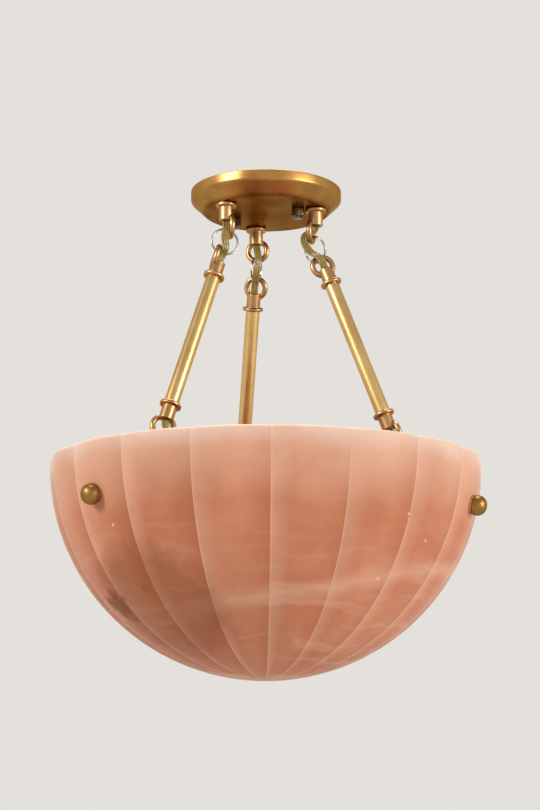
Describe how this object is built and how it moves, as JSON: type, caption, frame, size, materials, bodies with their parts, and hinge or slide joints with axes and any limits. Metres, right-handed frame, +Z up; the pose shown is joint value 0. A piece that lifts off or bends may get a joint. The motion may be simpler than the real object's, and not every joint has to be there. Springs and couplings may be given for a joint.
{
  "type": "semi-flush ceiling light",
  "caption": "Semi-flush ceiling light: a fluted stone half-globe bowl hung from a round brass canopy on slanting brass rods, linked by rings, with the wiring cords looped through.",
  "frame": {"origin": "centre of the ceiling plane, midway between the two outlet box screws of the mounting bar", "axes": "+Z up into the ceiling, the light hangs along -Z; the rear rod stands at +Y"},
  "size_m": [0.3276, 0.3367, 0.382],
  "materials": {
    "satin_brass": "satin antique brass, lacquered",
    "link_steel": "bright drawn steel wire",
    "zinc_steel": "zinc plated steel",
    "dark_nickel": "dark nickel plated steel, knurled",
    "ground_enamel": "green painted screw",
    "alabaster": "honed pink alabaster",
    "frame_enamel": "white stove enamel",
    "pad_rubber": "soft black rubber",
    "shell_brass": "pressed brass shell",
    "socket_porcelain": "white glazed porcelain",
    "cap_aluminium": "pressed aluminium cap",
    "opal_glass": "inside frosted glass",
    "cord_jacket": "olive gold flexible plastic jacket"
  },
  "bodies": {
    "canopy": {"canopy": "satin_brass", "mounting_bar": "zinc_steel", "bar_studs": "zinc_steel", "cap_nuts": "dark_nickel", "ground_screw": "ground_enamel", "canopy_loop_nuts": "zinc_steel", "canopy_loop_rear": "satin_brass", "canopy_loop_left": "satin_brass", "canopy_loop_right": "satin_brass", "upper_cord_rear": "cord_jacket", "upper_cord_left": "cord_jacket", "upper_cord_right": "cord_jacket"},
    "upper_link_rear": {"upper_link_rear": "link_steel"},
    "rod_rear": {"rod_top_loop_rear": "satin_brass", "rod_tube_rear": "satin_brass", "rod_bottom_loop_rear": "satin_brass"},
    "lower_link_rear": {"lower_link_rear": "link_steel"},
    "upper_link_left": {"upper_link_left": "link_steel"},
    "rod_left": {"rod_top_loop_left": "satin_brass", "rod_tube_left": "satin_brass", "rod_bottom_loop_left": "satin_brass"},
    "lower_link_left": {"lower_link_left": "link_steel"},
    "upper_link_right": {"upper_link_right": "link_steel"},
    "rod_right": {"rod_top_loop_right": "satin_brass", "rod_tube_right": "satin_brass", "rod_bottom_loop_right": "satin_brass"},
    "lower_link_right": {"lower_link_right": "link_steel"},
    "bowl": {"bowl": "alabaster", "eye_nuts": "zinc_steel", "knob_washers": "satin_brass", "wall_pads": "pad_rubber", "arm_screws": "zinc_steel", "cluster_body": "frame_enamel", "cluster_cover": "frame_enamel", "cord_grommets": "pad_rubber", "socket_nipples": "zinc_steel", "screw_shells": "shell_brass", "frame_arm_rear": "frame_enamel", "frame_eye_rear": "satin_brass", "lower_cord_rear": "cord_jacket", "frame_arm_left": "frame_enamel", "frame_eye_left": "satin_brass", "lower_cord_left": "cord_jacket", "frame_arm_right": "frame_enamel", "frame_eye_right": "satin_brass", "lower_cord_right": "cord_jacket", "socket_1": "socket_porcelain", "socket_2": "socket_porcelain", "socket_3": "socket_porcelain"},
    "knob_rear": {"knob_screw_rear": "satin_brass"},
    "knob_left": {"knob_screw_left": "satin_brass"},
    "knob_right": {"knob_screw_right": "satin_brass"},
    "bulb_1": {"bulb_cap_1": "cap_aluminium", "bulb_glass_1": "opal_glass"},
    "bulb_2": {"bulb_cap_2": "cap_aluminium", "bulb_glass_2": "opal_glass"},
    "bulb_3": {"bulb_cap_3": "cap_aluminium", "bulb_glass_3": "opal_glass"}
  },
  "joints": [
    {"name": "bowl_sway_front", "type": "hinge", "parent": "canopy", "child": "upper_link_rear", "pos_m": [0.00097, 0.04459, -0.04354], "axis": [0.9993, -0.012, -0.0346], "range_deg": [-5, 5]},
    {"name": "bowl_sway_side", "type": "hinge", "parent": "upper_link_rear", "child": "rod_rear", "pos_m": [0.00135, 0.04851, -0.05698], "axis": [-0.0438, 0.9435, 0.3283], "range_deg": [-5, 5], "deforming": ["upper_cord_rear"]},
    {"name": "lower_link_rear_hinge", "type": "hinge", "parent": "rod_rear", "child": "lower_link_rear", "pos_m": [0.00302, 0.10201, -0.21049], "axis": [0.0908, -0.7272, -0.6804], "range_deg": [-2.8, 2.8], "deforming": ["lower_cord_rear"]},
    {"name": "upper_link_left_hinge", "type": "hinge", "parent": "canopy", "child": "upper_link_left", "pos_m": [-0.03191, -0.02139, -0.04355], "axis": [0.9451, -0.0809, -0.3165], "range_deg": [-5.1, 5.1]},
    {"name": "rod_left_hinge", "type": "hinge", "parent": "upper_link_left", "child": "rod_left", "pos_m": [-0.04156, -0.02252, -0.05362], "axis": [-0.0813, 0.9872, -0.1371], "range_deg": [-5.5, 5.5], "deforming": ["upper_cord_left"]},
    {"name": "lower_link_left_hinge", "type": "hinge", "parent": "rod_left", "child": "lower_link_left", "pos_m": [-0.08903, -0.04774, -0.20705], "axis": [0.183, -0.9335, 0.3085], "range_deg": [-2.6, 2.6], "deforming": ["lower_cord_left"]},
    {"name": "upper_link_right_hinge", "type": "hinge", "parent": "canopy", "child": "upper_link_right", "pos_m": [0.03267, -0.01806, -0.04353], "axis": [0.9408, 0.0374, 0.337], "range_deg": [-5.1, 5.1]},
    {"name": "rod_right_hinge", "type": "hinge", "parent": "upper_link_right", "child": "rod_right", "pos_m": [0.03795, -0.01867, -0.05649], "axis": [0.032, 0.98, -0.1962], "range_deg": [-5.6, 5.6], "deforming": ["upper_cord_right"]},
    {"name": "lower_link_right_hinge", "type": "hinge", "parent": "rod_right", "child": "lower_link_right", "pos_m": [0.09251, -0.05042, -0.20622], "axis": [-0.0698, -0.9011, 0.428], "range_deg": [-2.7, 2.7], "deforming": ["lower_cord_right"]},
    {"name": "bowl_hinge", "type": "hinge", "parent": "lower_link_rear", "child": "bowl", "pos_m": [-0.00433, 0.10971, -0.21958], "axis": [-0.9958, 0.0299, 0.0863], "range_deg": [-2.4, 2.4]},
    {"name": "knob_rear_turn", "type": "hinge", "parent": "bowl", "child": "knob_rear", "pos_m": [0, 0.16147, -0.25616], "axis": [0, 0.9715, -0.2368], "continuous": true},
    {"name": "knob_left_turn", "type": "hinge", "parent": "bowl", "child": "knob_left", "pos_m": [-0.13984, -0.08074, -0.25616], "axis": [-0.8414, -0.4858, -0.2368], "continuous": true},
    {"name": "knob_right_turn", "type": "hinge", "parent": "bowl", "child": "knob_right", "pos_m": [0.13984, -0.08074, -0.25616], "axis": [0.8414, -0.4858, -0.2368], "continuous": true},
    {"name": "bulb_1_turn", "type": "hinge", "parent": "bowl", "child": "bulb_1", "pos_m": [0.05733, 0.0331, -0.2653], "axis": [0.866, 0.5, 0], "continuous": true},
    {"name": "bulb_2_turn", "type": "hinge", "parent": "bowl", "child": "bulb_2", "pos_m": [-0.05733, 0.0331, -0.2653], "axis": [-0.866, 0.5, 0], "continuous": true},
    {"name": "bulb_3_turn", "type": "hinge", "parent": "bowl", "child": "bulb_3", "pos_m": [0, -0.0662, -0.2653], "axis": [0, -1, 0], "continuous": true}
  ],
  "couplings": [
    {"joint": "lower_link_rear_hinge", "follows": "bowl_sway_side", "ratio": 0.48261},
    {"joint": "upper_link_left_hinge", "follows": "bowl_sway_front", "ratio": 0.94739},
    {"joint": "rod_left_hinge", "follows": "bowl_sway_side", "ratio": 1.0352},
    {"joint": "lower_link_left_hinge", "follows": "bowl_sway_side", "ratio": 0.45998},
    {"joint": "upper_link_right_hinge", "follows": "bowl_sway_front", "ratio": 0.94043},
    {"joint": "rod_right_hinge", "follows": "bowl_sway_side", "ratio": 1.0451},
    {"joint": "lower_link_right_hinge", "follows": "bowl_sway_side", "ratio": 0.47909},
    {"joint": "bowl_hinge", "follows": "bowl_sway_front", "ratio": 0.40048}
  ]
}
